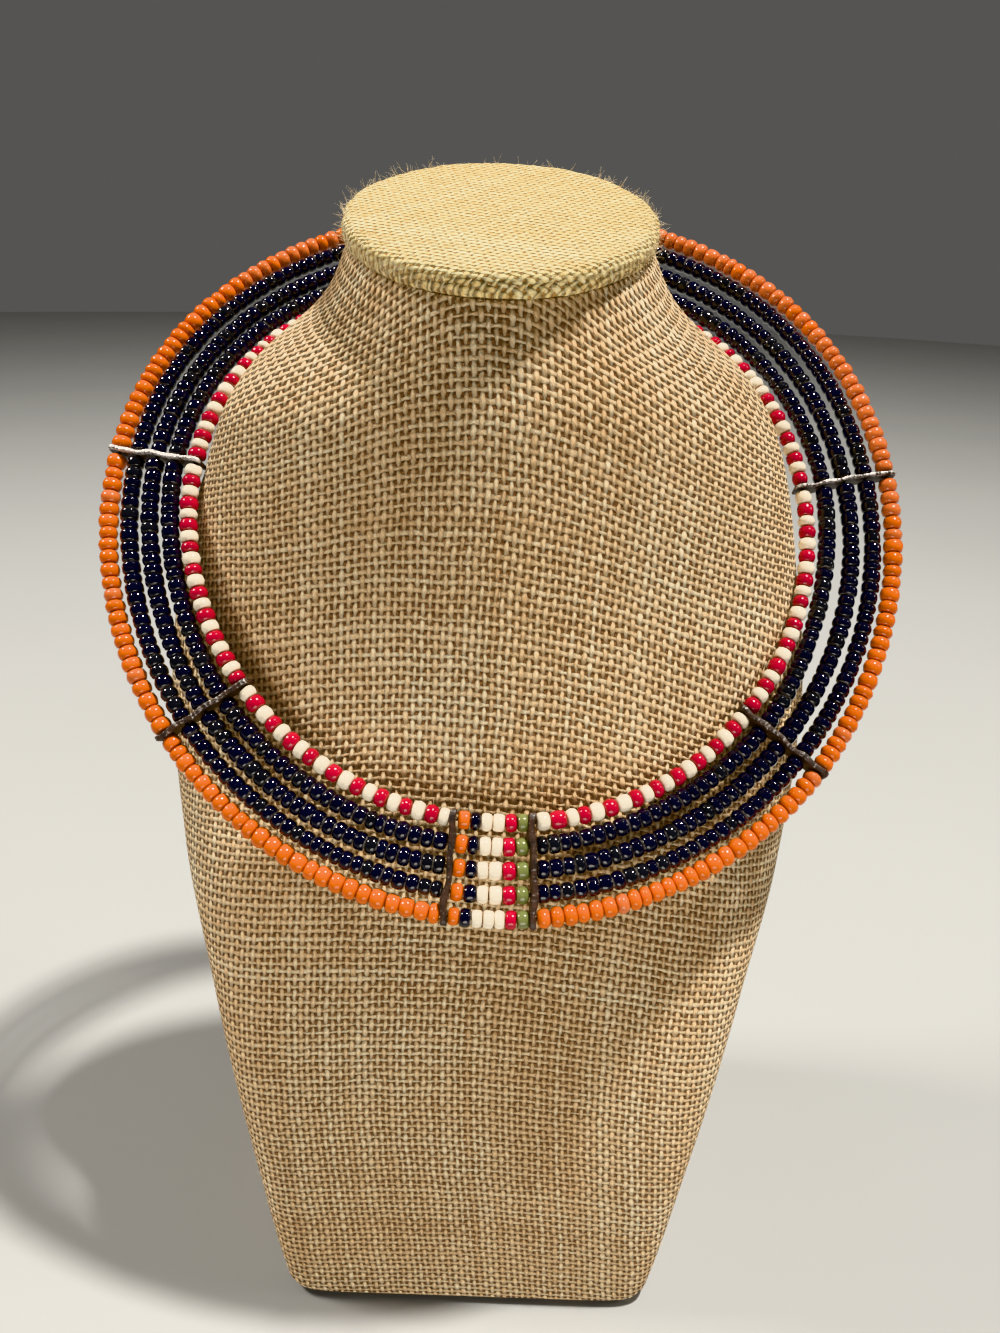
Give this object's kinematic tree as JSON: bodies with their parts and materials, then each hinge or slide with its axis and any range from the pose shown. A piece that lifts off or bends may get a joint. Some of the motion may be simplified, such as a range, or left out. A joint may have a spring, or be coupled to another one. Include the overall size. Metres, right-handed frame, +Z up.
{
  "type": "multi strand bead collar necklace on neck bust",
  "caption": "Rigid collar necklace of parallel bead strands on wires, held apart by thin leather bars with a striped front panel, resting on a plain burlap-covered neck bust.",
  "frame": {"origin": "middle of the bounding box, on the table under the bust", "axes": "+X to the viewer's right, the front faces -Y, +Z up"},
  "size_m": [0.1725, 0.1225, 0.2491],
  "materials": {
    "burlap": "coarse plain-weave burlap, golden tan",
    "cap_burlap": "coarse plain-weave burlap, a paler tan",
    "orange_beads": "opaque orange glass, glossy",
    "navy_beads": "opaque blue-black glass, glossy, brown dust between beads",
    "red_white_beads": "opaque raspberry and cream glass in turn, glossy",
    "white_beads": "opaque cream-white glass",
    "red_beads": "opaque raspberry-red glass",
    "green_beads": "opaque sage-green glass",
    "leather": "dark brown strip, rough, shiny on its edge",
    "clasp_metal": "plain satin steel"
  },
  "bodies": {
    "root": {"bust": "burlap", "cap": "cap_burlap", "strand_orange": "orange_beads", "strand_navy_outer": "navy_beads", "strand_navy_middle": "navy_beads", "strand_navy_inner": "navy_beads", "strand_red_white": "red_white_beads", "bar_front_left": "leather", "bar_front_right": "leather", "bar_lower_left": "leather", "bar_lower_right": "leather", "bar_side_left": "leather", "bar_side_right": "leather", "bar_end_left": "leather", "bar_end_right": "leather", "panel_orange_beads": "orange_beads", "panel_navy_beads": "navy_beads", "panel_white_beads": "white_beads", "panel_red_beads": "red_beads", "panel_green_beads": "green_beads", "clasp": "clasp_metal"}
  },
  "joints": []
}
